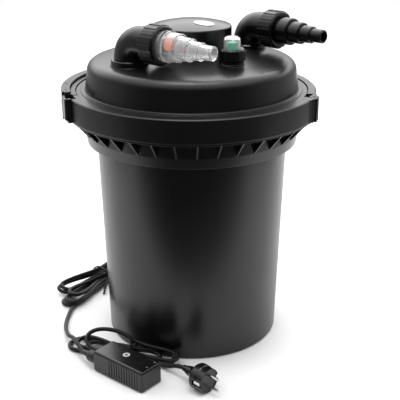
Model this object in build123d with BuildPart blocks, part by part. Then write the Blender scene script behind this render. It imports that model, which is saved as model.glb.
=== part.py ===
"""Pressurized pond filter: drum, clamped lid with swivelling hose elbows, UV clarifier, media, ballast and leads.

Millimetres.  +Z is up, the origin is the centre of the drum's base, and -Y is the front.
"""

from build123d import *
from math import cos, hypot, pi, radians, sin, tan
import os

# ---------------------------------------------------------------- driving dimensions
WALL = 4.0                      # moulded wall of drum and lid
CLEAR = 0.3                     # gap between pieces that move past each other
RUN = 0.07                      # radial running clearance of shafts and spigots
MIDDLE = (Align.CENTER, Align.CENTER, Align.MIN)

DRUM_BASE_R = 135.3
DRUM_TOP_R = 145.2              # drum wall just under the step
STEP_Z = 315.5
SKIRT_R = 159.9
NECK_R = 165.0
SHELF_R = 186.5
SHELF_Z = 356.0
SHELF_T = 3.3
FLANGE_R = 177.5                # drum and lid flanges, held together by the clamp
FLANGE_Z = 366.0
FLANGE_T = 7.0
GUSSETS = 36
GUSSET_T = 2.0
GUSSET_START_DEG = 2.43

SEAL_T = 3.0
LID_RIM_Z = FLANGE_Z + FLANGE_T + SEAL_T
LID_LAND_R = 64.0               # flat land that carries the UV head
LID_LAND_Z = 450.0
UV_HOLE_R = 42.0

CLAMP_R = 190.0
CLAMP_REAR_R = 187.0            # the rear segment is a little slimmer
CLAMP_SKIN = 3.5
CLAMP_LOW_Z = 359.7
CLAMP_TOP_Z = 394.3
LATCH_RING_R = 182.0            # the clamp is only this wide behind the latch lever

HINGE_AT = (189.0, -20.5)       # radius and polar angle of the clamp's hinge pin
LEVER_AT = (188.5, 194.3)       # lever pivot
LINK_AT = (189.0, 190.3)        # link pin, carried by the lever
POST_AT = (190.0, 201.8)        # catch post on the front segment
LEVER_END = 150.0               # polar angle of the lever's free end
LEVER_R = 196.0

PIPE_XY = {"outlet": (-88.0, -62.0), "inlet": (88.0, 62.0)}
ARM_DEG = {"outlet": -39.75, "inlet": -44.6}
ARM_Z = 475.5
BEND_R = 24.5
PIPE_R = 23.0
PIPE_BORE_R = 17.5
SPIGOT_R = 20.25                # the elbow's lower end, inside the lid
BOSS_R = 28.5
BOSS_LOW_Z = 428.0
BOSS_TOP_Z = 441.0
SOCKET_Z = 435.0                # floor of the boss's counterbore
SPIGOT_FLANGE_R = 25.0
COLLAR_R = 27.5
COLLAR_TOP_Z = 449.0
NUT_R = 27.5
NUT_FROM, NUT_TO = 40.0, 65.5   # distances along the arm from the elbow's upright axis
NUT_LIP = 2.4
NUT_PADS = 16
THREAD_R = 24.5
THREAD_FROM, ELBOW_END = 42.5, 58.5
TAIL_SEAL_T = 1.6
TAIL_FLANGE_R, TAIL_FLANGE_T = 24.2, 2.8
TAIL_NECK_R = 20.9
TAIL_TIP = {"outlet": 152.5, "inlet": 144.0}
STEPS_BACK = (56.5, 37.2, 19.0, 0.0)       # from the tip back to the end of each hose step
STEP_EDGE = 1.4                            # chamfer at the end of each step
STEP_RADII = (20.0, 16.0, 12.5, 10.0)      # 40, 32, 25 and 20 mm hoses
STEP_BORES = (17.0, 13.2, 9.8, 7.4)
FLAP_PIN_U, FLAP_PIN_V = 74.0, 12.5
FLAP_PIN_R = 1.0
FLAP_PIN_LENGTH = 23.6
FLAP_R = 9.0
FLAP_DROP = 9.5                 # from the pin down to the middle of the flap's disc

INDICATOR_XY = (57.0, -72.0)
INDICATOR_BOSS_Z = 445.0
INDICATOR_BOSS_R, INDICATOR_BOSS_H = 17.5, 8.0

CAP_R = 59.3
CAP_T = 3.5
CAP_SIDE_Z = 485.0
CAP_TOP_Z = 495.5
CAP_SHOULDER_Z = 487.4          # where the crown meets the rounded edge
CAP_CROWN_R = 200.3             # radius of the cap's shallow crown
WINDOW_XY = (18.0, -25.0)
WINDOW_A, WINDOW_B = 15.4, 11.1            # half axes of the bezel round the lamp's window
WINDOW_T = 2.4
GLAND_DEG = 105.0               # where the lamp lead leaves the cap, behind the head
GLAND_Z = 463.0

SLEEVE_R = 24.0
SLEEVE_LOW_Z = 178.0
DOWNPIPE_R = 22.0
MEDIA_R = 129.0
ROD_R = 4.0
ROD_CIRCLE_R = 112.0
ROD_DEGS = (80.0, 170.0, 260.0, 350.0)

CORD_R = 3.25
BOX_XY = (-95.25, -183.1)
BOX_DEG = -40.0
BOX_LENGTH, BOX_WIDTH, BOX_HEIGHT = 95.0, 43.0, 34.0
BOX_WALL = 2.5
BOX_EDGE = 4.0                  # rounding of the box's moulded edges
BOX_GLANDS_V = (-12.5, 5.5)     # the lamp lead enters in front, the mains lead behind
BOX_GLAND_Z = 17.0
BOX_GLAND_LENGTH = 34.0
PLUG_AT = (10.5, -214.0, 19.5)
PLUG_DEG = -45.0
PLUG_R = 19.5
PLUG_BOOT = 34.0

# Lead routes: straight runs joined by tangent arcs.
LAMP_CORD_UPPER = [
    (-23.4, 87.4, 463.0), (-28.0, 106.0, 461.5), (-40.0, 139.0, 455.0), (-54.0, 172.0, 434.0),
    (-66.0, 197.0, 392.0), (-72.0, 207.0, 336.0), (-74.0, 204.0, 266.0), (-79.0, 207.0, 196.0),
    (-78.0, 211.0, 128.0), (-70.0, 222.0, 78.0), (-63.0, 236.0, 44.0), (-70.0, 245.0, 20.0),
    (-87.0, 241.0, 9.0), (-104.0, 226.0, 9.0),
]
LAMP_CORD_LOWER = [
    (-203.0, 34.0, 5.0), (-206.5, 7.0, 4.2), (-208.4, -19.5, 3.6), (-205.5, -48.9, 5.5),
    (-195.5, -88.8, 16.0), (-184.5, -102.4, 19.5), (-178.0, -119.0, 19.5), (-165.7, -140.3, 17.0),
]
MAINS_CORD_LEAD = [
    (-154.1, -126.5, 17.0), (-160.5, -121.1, 18.0), (-165.0, -112.0, 23.0), (-160.0, -101.0, 29.0),
    (-144.0, -95.5, 32.0), (-121.0, -100.0, 32.0), (-101.0, -110.5, 28.0), (-84.0, -122.0, 22.0),
]
MAINS_CORD_TAIL = [
    (-50.0, -158.0, 5.5), (-36.5, -169.5, 9.0), (-24.5, -179.3, 16.5), (-13.5, -190.0, 19.5),
]
LAMP_HANK = [((-222.0, 56.0), 29.0), ((-164.0, 131.0), 17.0), ((-108.0, 203.0), 25.0)]
LAMP_HANK_H = 29.0
MAINS_HANK = [((-175.0, -93.0), 23.0), ((-112.0, -117.0), 15.0), ((-36.0, -150.5), 13.5)]
MAINS_HANK_HEIGHTS = (12.5, 24.0)

os.makedirs("parts", exist_ok=True)


# ---------------------------------------------------------------- helpers
def keep(part, node):
    """Label a finished piece and write its STEP file."""
    part.label = node
    export_step(part, f"parts/{node}.step")


def polar(radius, angle_deg, z=0.0):
    """Point at a polar position about the drum's axis."""
    return (radius * cos(radians(angle_deg)), radius * sin(radians(angle_deg)), z)


def axis_plane(origin, angle_deg):
    """Plane whose X runs level along angle_deg and whose Y is up, for profiles turned about X."""
    along = Vector(cos(radians(angle_deg)), sin(radians(angle_deg)), 0)
    return Plane(origin=origin, x_dir=along, z_dir=along.cross(Vector(0, 0, 1)))


def end_plane(plane, distance):
    """Plane square to an axis_plane's X, distance along it, with its own Y up."""
    return Plane(
        origin=plane.origin + plane.x_dir * distance,
        x_dir=-plane.z_dir,
        z_dir=plane.x_dir,
    )


def turned(profile, plane=Plane.XZ, about=None):
    """Solid of revolution of a closed polyline; about is the plane's Y axis unless given."""
    with BuildPart() as body:
        with BuildSketch(plane):
            with BuildLine():
                Polyline(*profile, close=True)
            make_face()
        revolve(axis=about or Axis(plane.origin, plane.y_dir))
    return body.part


def turned_along(profile, plane):
    """Solid of revolution about an axis_plane's X; profile points are (along, radius)."""
    return turned(profile, plane, Axis(plane.origin, plane.x_dir))


def upright(profile, xy):
    """Solid of revolution about a vertical axis at xy; profile points are (radius, z)."""
    return turned(profile, Plane(origin=(*xy, 0), x_dir=(1, 0, 0), z_dir=(0, -1, 0)))


def sector(inner, outer, z_low, z_high, from_deg, to_deg):
    """Part of a flat ring between two polar angles."""
    with BuildPart() as piece:
        with BuildSketch(Plane.XZ):
            with Locations(((inner + outer) / 2, (z_low + z_high) / 2)):
                Rectangle(outer - inner, z_high - z_low)
        revolve(axis=Axis.Z, revolution_arc=to_deg - from_deg)
    return piece.part.rotate(Axis.Z, from_deg)


def corner_radii(route):
    """Largest arc at each corner: 0.45 of the shorter run over the tangent of half the turn."""
    points = [Vector(*p) for p in route]
    radii = []
    for before, corner, after in zip(points, points[1:], points[2:]):
        run_in = corner - before
        run_out = after - corner
        half_turn = radians(run_in.get_angle(run_out)) / 2
        radii.append(0.45 * min(run_in.length, run_out.length) / tan(half_turn))
    return radii


def cord(route, node):
    """Round lead along a route of straight runs and tangent arcs."""
    radii = corner_radii(route)
    with BuildPart() as lead:
        with BuildLine() as path:
            FilletPolyline(*route, radius=radii)
        with BuildSketch(Plane(origin=path.wires()[0] @ 0, z_dir=path.wires()[0] % 0)):
            Circle(CORD_R)
        sweep(path=path.wires()[0])
    length = path.wires()[0].length
    section = pi * CORD_R ** 2
    print(f"{node}: length {length:.1f}, volume ratio {lead.part.volume / (section * length):.4f},",
          "radii", [round(r, 1) for r in radii])
    keep(lead.part, node)


# ---------------------------------------------------------------- drum
with BuildPart() as gusset:
    with BuildSketch(Plane.XZ):
        with BuildLine():
            Polyline((161.2, STEP_Z + 15.7), (162.9, STEP_Z + 15.7), (SHELF_R - 0.5, SHELF_Z + 1),
                     (162.5, SHELF_Z + 1), close=True)
        make_face()
    extrude(amount=GUSSET_T / 2, both=True)

keep(turned([(0, 0), (DRUM_BASE_R - 3, 0), (DRUM_BASE_R, 3), (DRUM_TOP_R, STEP_Z),
             (DRUM_TOP_R - WALL, STEP_Z), (DRUM_BASE_R - WALL, 3 + WALL),
             (DRUM_BASE_R - WALL - 3, WALL), (0, WALL)]), "drum")

with BuildPart() as drum_rim:
    add(turned([
        (DRUM_TOP_R - WALL, STEP_Z), (SKIRT_R, STEP_Z), (SKIRT_R + 2.8, STEP_Z + 15.5),
        (NECK_R - 1, SHELF_Z), (SHELF_R, SHELF_Z), (SHELF_R, SHELF_Z + SHELF_T),
        (NECK_R, SHELF_Z + SHELF_T), (NECK_R, FLANGE_Z), (FLANGE_R, FLANGE_Z),
        (FLANGE_R, FLANGE_Z + FLANGE_T), (NECK_R - 5, FLANGE_Z + FLANGE_T), (NECK_R - 5, FLANGE_Z - 6),
        (SKIRT_R - WALL, STEP_Z + WALL), (DRUM_TOP_R - WALL, STEP_Z + WALL)]))
    with PolarLocations(0, GUSSETS, start_angle=GUSSET_START_DEG):
        add(gusset.part)
keep(drum_rim.part, "drum_rim")

# ---------------------------------------------------------------- lid
with BuildPart() as lid:
    with BuildSketch(Plane.XZ):
        with BuildLine():
            Polyline(
                (153, 392), (153, 362), (156.6, 362), (156.6, 386), (171.5, 386),
                (171.5, LID_RIM_Z), (FLANGE_R, LID_RIM_Z), (FLANGE_R, 389.6), (173.9, 389.6),
                (173.9, 392.6), (167, 392.6), (167, 394), (161.2, 394), (160.5, 395.2), (156.8, 423),
            )
            ThreePointArc((156.8, 423), (152.6, 433), (143, 437.6))
            Spline((143, 437.6), (107, 442.2), (LID_LAND_R, LID_LAND_Z),
                   tangents=((-0.98, 0.2), (-1, 0.18)))
            Polyline((LID_LAND_R, LID_LAND_Z), (UV_HOLE_R, LID_LAND_Z), (UV_HOLE_R, 446), (64, 446))
            Spline((64, 446), (107, 438.2), (141.5, 433.7), tangents=((1, -0.18), (0.98, -0.2)))
            ThreePointArc((141.5, 433.7), (149.2, 430.4), (152.8, 422))
            Polyline((152.8, 422), (156.2, 396), (153, 392))
        make_face()
    revolve(axis=Axis.Z)
    for xy in PIPE_XY.values():
        with Locations((*xy, BOSS_LOW_Z)):
            Cylinder(BOSS_R, BOSS_TOP_Z - BOSS_LOW_Z, align=MIDDLE)
            Cylinder(SPIGOT_R + RUN, 40, mode=Mode.SUBTRACT)
        with Locations((*xy, SOCKET_Z)):
            Cylinder(SPIGOT_FLANGE_R + 0.4, 20, align=MIDDLE, mode=Mode.SUBTRACT)
        with Locations((*xy, BOSS_TOP_Z)):
            Cylinder(BOSS_R, 20, align=MIDDLE, mode=Mode.SUBTRACT)
    with Locations((*INDICATOR_XY, INDICATOR_BOSS_Z - INDICATOR_BOSS_H)):
        Cylinder(INDICATOR_BOSS_R, INDICATOR_BOSS_H, align=MIDDLE)
        Cylinder(6, 30, mode=Mode.SUBTRACT)
    with Locations((*INDICATOR_XY, INDICATOR_BOSS_Z)):
        Cylinder(INDICATOR_BOSS_R, 10, align=MIDDLE, mode=Mode.SUBTRACT)
keep(lid.part, "lid")

keep(upright([(172, LID_RIM_Z - SEAL_T), (177, LID_RIM_Z - SEAL_T), (177, LID_RIM_Z), (172, LID_RIM_Z)],
             (0, 0)), "lid_seal")


# ---------------------------------------------------------------- clamp ring
def clamp_ring(outer, from_deg, to_deg, narrow_from, narrow_to):
    """Clamp section: lips over both flanges and a cored wall, narrowed between two angles."""
    core = outer - CLAMP_SKIN
    with BuildPart() as ring:
        with BuildSketch(Plane.XZ):
            with BuildLine():
                Polyline(
                    (166.6, 360), (181, 360), (181, 389), (core, 389), (core, CLAMP_LOW_Z),
                    (outer - 0.3, CLAMP_LOW_Z), (outer, 361), (outer, CLAMP_TOP_Z - 1.5),
                    (outer - 1.5, CLAMP_TOP_Z), (175.4, CLAMP_TOP_Z), (174.9, 393.8), (174.9, 390),
                    (178, 390), (178, 365.5), (166.6, 365.5),
                    close=True,
                )
            make_face()
        revolve(axis=Axis.Z, revolution_arc=to_deg - from_deg)
    return ring.part.rotate(Axis.Z, from_deg) - sector(LATCH_RING_R, 200, 350, 400, narrow_from, narrow_to)


REAR_FROM, REAR_TO = -16.0, 197.0
FRONT_FROM, FRONT_TO = 198.2, 337.2          # 337.2 is -22.8, just before the hinge
KNUCKLE_R = 7.0
PIN_R = 2.5
LATCH_PIN_R = 2.0
hinge_xy = polar(*HINGE_AT)[:2]
lever_xy = polar(*LEVER_AT)[:2]
link_xy = polar(*LINK_AT)[:2]
post_xy = polar(*POST_AT)[:2]

with BuildPart() as clamp_rear_segment:
    add(clamp_ring(CLAMP_REAR_R, REAR_FROM, REAR_TO, LEVER_END - 2.5, REAR_TO + 1))
    add(sector(180.5, CLAMP_REAR_R - 1.5, CLAMP_LOW_Z, CLAMP_TOP_Z, REAR_FROM, REAR_FROM + 4))
    for z_low, height in ((CLAMP_LOW_Z, 11.0), (383.3, 11.0)):
        with Locations((*hinge_xy, z_low)):
            Cylinder(KNUCKLE_R, height, align=MIDDLE)
        add(sector(184, 189.5, z_low, z_low + height, HINGE_AT[1] + 0.4, REAR_FROM + 1))
    for z_low in (362.6, 388.3):             # ears that hold the lever's pivot pin
        with Locations((*lever_xy, z_low)):
            Cylinder(5, 6, align=MIDDLE)
        add(sector(181, 188.5, z_low, z_low + 6, LEVER_AT[1] - 1.4, LEVER_AT[1] + 1.4))
    with Locations((*hinge_xy, 377)):
        Cylinder(PIN_R, 60, mode=Mode.SUBTRACT)
    with Locations((*lever_xy, 377)):
        Cylinder(LATCH_PIN_R, 60, mode=Mode.SUBTRACT)
keep(clamp_rear_segment.part, "clamp_rear_segment")

with BuildPart() as clamp_front_segment:
    add(clamp_ring(CLAMP_R, FRONT_FROM, FRONT_TO, FRONT_FROM - 1, 204.6))
    # flared lug with a vertical channel in its outer face, next to the hinge
    with BuildSketch(Plane.XY.offset(CLAMP_LOW_Z)):
        with BuildLine():
            lug = [polar(r, a)[:2] for r, a in
                   ((182, 331.5), (189.6, 331.5), (191.6, 333), (191.2, 333.9), (193, 334.7),
                    (193.4, 335.5), (196.6, 336.2), (197, 337.2), (182, 337.2))]
            Polyline(*lug, close=True)
        make_face()
    extrude(amount=CLAMP_TOP_Z - CLAMP_LOW_Z)
    with Locations((*hinge_xy, 371.3)):
        Cylinder(KNUCKLE_R, 11.4, align=MIDDLE)
    add(sector(184, 189.5, 371.3, 382.7, 336.5, 338.6))
    # end wall, floor plate and post of the hook pocket
    add(sector(181, 189.5, CLAMP_LOW_Z, CLAMP_TOP_Z, 204.4, 205.6))
    add(sector(181.5, 195.5, CLAMP_LOW_Z, CLAMP_LOW_Z + 3, FRONT_FROM + 0.1, 205.2))
    with Locations((*post_xy, CLAMP_LOW_Z)):
        Cylinder(LATCH_PIN_R, CLAMP_TOP_Z - 1 - CLAMP_LOW_Z, align=MIDDLE)
    with Locations((*hinge_xy, 377)):
        Cylinder(PIN_R + RUN, 60, mode=Mode.SUBTRACT)
    with Locations(polar(191.5, 204.0, CLAMP_LOW_Z)):
        Cylinder(1.2, 12, mode=Mode.SUBTRACT)
keep(clamp_front_segment.part, "clamp_front_segment")

with BuildPart() as clamp_hinge_pin:
    with Locations((*hinge_xy, CLAMP_LOW_Z - 0.5)):
        Cylinder(PIN_R, 35.6, align=MIDDLE)
    chamfer(clamp_hinge_pin.edges().group_by(Axis.Z)[-1], 0.6)
keep(clamp_hinge_pin.part, "clamp_hinge_pin")

BAND_LOW_Z, LEVER_TOP_Z = 356.4, 397.8
LEVER_PLATE_T = 2.6
LEVER_PLATES_Z = (359.6, LEVER_TOP_Z - LEVER_PLATE_T)
LINK_LOW_Z, LINK_H = 369.0, 14.0
HOOK_LOW_Z = CLAMP_LOW_Z + 3.4     # just over the floor plate of the hook pocket
with BuildPart() as latch_lever:
    add(sector(LEVER_R - 2.3, LEVER_R, BAND_LOW_Z, LEVER_TOP_Z, LEVER_END, LEVER_AT[1]))
    for z_low in LEVER_PLATES_Z:
        add(sector(183, LEVER_R, z_low, z_low + LEVER_PLATE_T, LEVER_END, LEVER_AT[1]))
        with Locations((*lever_xy, z_low)):
            Cylinder(5, LEVER_PLATE_T, align=MIDDLE)
    add(sector(188, LEVER_R - 2, BAND_LOW_Z, LEVER_TOP_Z, LEVER_END, LEVER_END + 1))
    for angle in (159, 167.5, 176):          # stiffening ribs across the band
        add(sector(188, LEVER_R - 2, BAND_LOW_Z + 1, LEVER_TOP_Z - 1, angle, angle + 0.8))
    # fork: the band is open between the pivot and the link pin, where the link swings through
    add(sector(LEVER_R - 4, LEVER_R + 4, LINK_LOW_Z - 1.5, LINK_LOW_Z + LINK_H + 1.5, 187.6, 197),
        mode=Mode.SUBTRACT)
    with Locations((*lever_xy, 377)):
        Cylinder(LATCH_PIN_R + RUN, 60, mode=Mode.SUBTRACT)
    with Locations((*link_xy, 377)):
        Cylinder(LATCH_PIN_R, 60, mode=Mode.SUBTRACT)
    with Locations(polar(190, 179, LEVER_TOP_Z)):
        Cylinder(1.8, 8, mode=Mode.SUBTRACT)
keep(latch_lever.part, "latch_lever")


def latch_pin(xy):
    """Straight pin through both lever plates, chamfered at its top."""
    with BuildPart() as pin:
        with Locations((*xy, LEVER_PLATES_Z[0] - 0.4)):
            Cylinder(LATCH_PIN_R, LEVER_TOP_Z - LEVER_PLATES_Z[0] + 0.8, align=MIDDLE)
        chamfer(pin.edges().group_by(Axis.Z)[-1], 0.5)
    return pin.part


keep(latch_pin(lever_xy), "latch_lever_pin")
keep(latch_pin(link_xy), "latch_link_pin")


def latch_frame(u, w):
    """Point u forward of the catch post and w outward of it, in plan."""
    forward = Vector(*post_xy) - Vector(*link_xy)
    forward = forward.normalized()
    outward = Vector(forward.Y, -forward.X)
    return tuple(Vector(*post_xy) + forward * u + outward * w)[:2]


reach = hypot(post_xy[0] - link_xy[0], post_xy[1] - link_xy[1])
with BuildPart() as latch_link:
    with BuildSketch(Plane.XY.offset(LINK_LOW_Z)):
        with Locations(link_xy):
            Circle(4.2)
        with BuildLine():
            Polyline(
                *[latch_frame(u, w) for u, w in (
                    (-reach, 2.2), (-reach + 6, 5.2), (5.4, 5.2), (5.4, -1.0), (8.0, -1.0),
                    (8.0, 6.2), (6.2, 8.0), (-reach + 5, 8.0), (-reach - 2.5, 4.0))],
                close=True,
            )
        make_face()
    extrude(amount=LINK_H)
    # past the lever's ears the link is a full-height hook plate
    with BuildSketch(Plane.XY.offset(HOOK_LOW_Z)):
        with BuildLine():
            Polyline(
                *[latch_frame(u, w) for u, w in (
                    (-19, 5.2), (5.4, 5.2), (5.4, -1.0), (8.0, -1.0), (8.0, 6.2), (6.2, 8.0), (-19, 8.0))],
                close=True,
            )
        make_face()
    extrude(amount=CLAMP_TOP_Z - HOOK_LOW_Z)
    with Locations((*link_xy, 377)):
        Cylinder(LATCH_PIN_R + RUN, 60, mode=Mode.SUBTRACT)
keep(latch_link.part, "latch_link")

# ---------------------------------------------------------------- hose fittings
SPIGOT_LOW_Z = BOSS_LOW_Z + 0.5
FLANGE_LOW_Z, FLANGE_TOP_Z = SOCKET_Z + CLEAR, BOSS_TOP_Z - CLEAR
tail_start = ELBOW_END + TAIL_SEAL_T
flange_end = tail_start + TAIL_FLANGE_T
nut_inner = THREAD_R + 0.1
for side, xy in PIPE_XY.items():
    arm = axis_plane((*xy, ARM_Z), ARM_DEG[side])

    with BuildPart() as elbow:
        with BuildLine(arm) as bend:
            Line((0, SPIGOT_LOW_Z - ARM_Z), (0, -BEND_R))
            ThreePointArc((0, -BEND_R), (BEND_R * (1 - cos(radians(45))), -BEND_R * (1 - sin(radians(45)))),
                          (BEND_R, 0))
            Line((BEND_R, 0), (ELBOW_END, 0))
        with BuildSketch(Plane(origin=(*xy, SPIGOT_LOW_Z), z_dir=(0, 0, 1))):
            Circle(PIPE_R)
        sweep(path=bend.wires()[0])
        add(turned_along([(THREAD_FROM, PIPE_R - 1), (THREAD_FROM, THREAD_R - 1), (THREAD_FROM + 1, THREAD_R),
                          (ELBOW_END - 1, THREAD_R), (ELBOW_END, THREAD_R - 1), (ELBOW_END, PIPE_R - 1)], arm))
        add(upright([(PIPE_R - 1, FLANGE_LOW_Z), (SPIGOT_FLANGE_R, FLANGE_LOW_Z),
                     (SPIGOT_FLANGE_R, FLANGE_TOP_Z), (PIPE_R - 1, FLANGE_TOP_Z)], xy))
        add(upright([(SPIGOT_R, SPIGOT_LOW_Z - 1), (PIPE_R + 1, SPIGOT_LOW_Z - 1), (PIPE_R + 1, FLANGE_LOW_Z),
                     (SPIGOT_R, FLANGE_LOW_Z)], xy), mode=Mode.SUBTRACT)
        with BuildSketch(Plane(origin=(*xy, SPIGOT_LOW_Z), z_dir=(0, 0, 1))):
            Circle(PIPE_BORE_R)
        sweep(path=bend.wires()[0], mode=Mode.SUBTRACT)
    keep(elbow.part, f"{side}_elbow")

    keep(upright([(PIPE_R + RUN, BOSS_TOP_Z), (COLLAR_R, BOSS_TOP_Z), (COLLAR_R, COLLAR_TOP_Z - 1.4),
                  (COLLAR_R - 1.2, COLLAR_TOP_Z), (PIPE_R + RUN, COLLAR_TOP_Z)], xy), f"{side}_base_collar")

    keep(turned_along([(ELBOW_END, PIPE_BORE_R), (ELBOW_END, 23.4), (tail_start, 23.4),
                       (tail_start, PIPE_BORE_R)], arm), f"{side}_tail_seal")

    with BuildPart() as union_nut:
        add(turned_along([
            (NUT_FROM, nut_inner), (NUT_FROM, NUT_R - 0.9), (NUT_FROM + 1, NUT_R),
            (NUT_TO - 2, NUT_R), (NUT_TO, NUT_R - 2), (NUT_TO, TAIL_NECK_R + CLEAR),
            (NUT_TO - NUT_LIP, TAIL_NECK_R + CLEAR), (NUT_TO - NUT_LIP, nut_inner)], arm))
        with BuildSketch(end_plane(arm, NUT_FROM + 0.6)):
            with PolarLocations(NUT_R + 0.1, NUT_PADS):
                Rectangle(1.3, 7.2)
        extrude(amount=NUT_TO - NUT_FROM - 3.2)
    keep(union_nut.part, f"{side}_union_nut")

    tail_outer = [(tail_start, TAIL_FLANGE_R), (flange_end, TAIL_FLANGE_R), (flange_end, TAIL_NECK_R)]
    if side == "outlet":                     # two raised rings with a groove between them
        tail_outer += [(69.6, TAIL_NECK_R), (70.0, 22.0), (71.8, 22.0), (72.2, 19.0), (75.8, 19.0),
                       (76.2, 21.9), (78.0, 21.9), (78.4, 20.9)]
    step_start = tail_outer[-1][0]
    tail_inner = []
    bore_start = tail_start
    for back, radius, bore in zip(STEPS_BACK, STEP_RADII, STEP_BORES):
        step_end = TAIL_TIP[side] - back
        tail_outer += [(step_start, radius), (step_end - STEP_EDGE, radius), (step_end, radius - STEP_EDGE)]
        bore_end = step_end - 3 if back else step_end
        tail_inner += [(bore_start, bore), (bore_end, bore)]
        step_start = step_end
        bore_start = step_end
    keep(turned_along(tail_outer + tail_inner[::-1], arm), f"{side}_hose_tail")

# flow flap in the clear outlet tail, hung from a cross pin
outlet_arm = axis_plane((*PIPE_XY["outlet"], ARM_Z), ARM_DEG["outlet"])
flap_plane = end_plane(outlet_arm, FLAP_PIN_U)


def flap_cross(half_width):
    """Plane square to the flap's pin, half_width to one side of the arm."""
    return Plane(origin=flap_plane.origin + flap_plane.y_dir * FLAP_PIN_V - flap_plane.x_dir * half_width,
                 z_dir=flap_plane.x_dir)


with BuildPart() as flow_flap:
    with BuildSketch(flap_plane.offset(-0.8)):
        with Locations((0, FLAP_PIN_V - FLAP_DROP)):
            Circle(FLAP_R)
        with Locations((0, FLAP_PIN_V - 2.5)):
            Rectangle(8, 5)
    extrude(amount=1.6)
    with BuildSketch(flap_cross(4)):
        Circle(2.1)
    extrude(amount=8)
    with BuildSketch(flap_cross(9)):
        Circle(FLAP_PIN_R + RUN)
    extrude(amount=18, mode=Mode.SUBTRACT)
keep(flow_flap.part, "flow_flap")

with BuildPart() as flow_flap_pin:
    with BuildSketch(flap_cross(FLAP_PIN_LENGTH / 2)):
        Circle(FLAP_PIN_R)
    extrude(amount=FLAP_PIN_LENGTH)
keep(flow_flap_pin.part, "flow_flap_pin")

# ---------------------------------------------------------------- cleaning indicator
keep(upright([(4, INDICATOR_BOSS_Z), (17, INDICATOR_BOSS_Z), (17, 447.5), (14.5, 449), (14.5, 459),
              (13, 459), (13, 452), (4, 452)], INDICATOR_XY), "indicator_base")

with BuildPart() as indicator_nut:
    add(upright([(14.6, 449.6), (18.2, 449.6), (18.2, 464.2), (16.6, 466), (12.3, 466), (12.3, 463),
                 (14.6, 463)], INDICATOR_XY))
    with BuildSketch(Plane(origin=(*INDICATOR_XY, 450.2), z_dir=(0, 0, 1))):
        with PolarLocations(18.3, 18):
            Rectangle(1.6, 3.0)
    extrude(amount=13.6)
keep(indicator_nut.part, "indicator_nut")

with BuildPart() as indicator_dome:
    with BuildSketch(Plane(origin=(*INDICATOR_XY, 0), x_dir=(1, 0, 0), z_dir=(0, -1, 0))):
        with BuildLine():
            Polyline((10.2, 459), (14.2, 459), (14.2, 462.6), (12.1, 462.6), (12.1, 477.5))
            Spline((12.1, 477.5), (9.3, 481.7), (0, 483.4), tangents=((0, 1), (-1, 0)))
            Line((0, 483.4), (0, 481.6))
            Spline((0, 481.6), (7.8, 480.1), (10.2, 476.8), tangents=((1, 0), (0, -1)))
            Line((10.2, 476.8), (10.2, 459))
        make_face()
    revolve(axis=Axis((*INDICATOR_XY, 0), (0, 0, 1)))
keep(indicator_dome.part, "indicator_dome")

keep(upright([(0, 461), (7.5, 461), (7.5, 474.2), (6.6, 475), (0, 475)], INDICATOR_XY), "indicator_float")

with BuildPart() as indicator_spring:
    with BuildLine():
        coil = Helix(pitch=2.2, height=7.6, radius=5.0, center=(*INDICATOR_XY, 452.7))
    with BuildSketch(Plane(origin=coil @ 0, z_dir=coil % 0)):
        Circle(0.45)
    sweep(path=coil, is_frenet=True)
keep(indicator_spring.part, "indicator_spring")

# ---------------------------------------------------------------- UV head
head = Plane(origin=(0, 0, 0), x_dir=(1, 0, 0), z_dir=(0, -1, 0))
window_r = hypot(*WINDOW_XY)
window_tilt = window_r / CAP_CROWN_R
window_z = CAP_TOP_Z - window_r ** 2 / (2 * CAP_CROWN_R)
window_normal = Vector(sin(window_tilt) * WINDOW_XY[0] / window_r,
                       sin(window_tilt) * WINDOW_XY[1] / window_r, cos(window_tilt))
window_plane = Plane(origin=(*WINDOW_XY, window_z), x_dir=(1, -0.2, 0), z_dir=window_normal)
window_floor = window_plane.offset(-WINDOW_T)
gland_axis = axis_plane((0, 0, GLAND_Z), GLAND_DEG)
gland_plane = end_plane(gland_axis, CAP_R - 8)

with BuildPart() as uv_cap:
    with BuildSketch(head):
        with BuildLine():
            Polyline((CAP_R - CAP_T, LID_LAND_Z), (CAP_R, LID_LAND_Z), (CAP_R, CAP_SIDE_Z))
            ThreePointArc((CAP_R, CAP_SIDE_Z), (58.3, 486.8), (56.4, CAP_SHOULDER_Z))
            ThreePointArc((56.4, CAP_SHOULDER_Z), (28.4, 493.48), (0, CAP_TOP_Z))
            Line((0, CAP_TOP_Z), (0, CAP_TOP_Z - 4.5))
            ThreePointArc((0, CAP_TOP_Z - 4.5), (28, 489.1), (CAP_R - CAP_T, CAP_SIDE_Z - 1.8))
            Line((CAP_R - CAP_T, CAP_SIDE_Z - 1.8), (CAP_R - CAP_T, LID_LAND_Z))
        make_face()
    revolve(axis=Axis.Z)
    with BuildSketch(window_floor):
        Ellipse(WINDOW_A + 0.1, WINDOW_B + 0.1)
    extrude(amount=8, mode=Mode.SUBTRACT)
    with BuildSketch(gland_plane):
        Circle(6.0)
    extrude(amount=16, mode=Mode.SUBTRACT)
keep(uv_cap.part, "uv_cap")

with BuildPart() as uv_cap_bezel:
    with BuildSketch(window_floor):
        Ellipse(WINDOW_A, WINDOW_B)
        Ellipse(WINDOW_A - 0.9, WINDOW_B - 0.9, mode=Mode.SUBTRACT)
    extrude(amount=WINDOW_T + 0.5)
    chamfer(uv_cap_bezel.edges().group_by(Axis.Z)[-1], 0.3)
keep(uv_cap_bezel.part, "uv_cap_bezel")

with BuildPart() as uv_cap_window:
    with BuildSketch(window_floor):
        Ellipse(WINDOW_A - 0.9, WINDOW_B - 0.9)
    extrude(amount=WINDOW_T + 0.2)
keep(uv_cap_window.part, "uv_cap_window")

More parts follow.
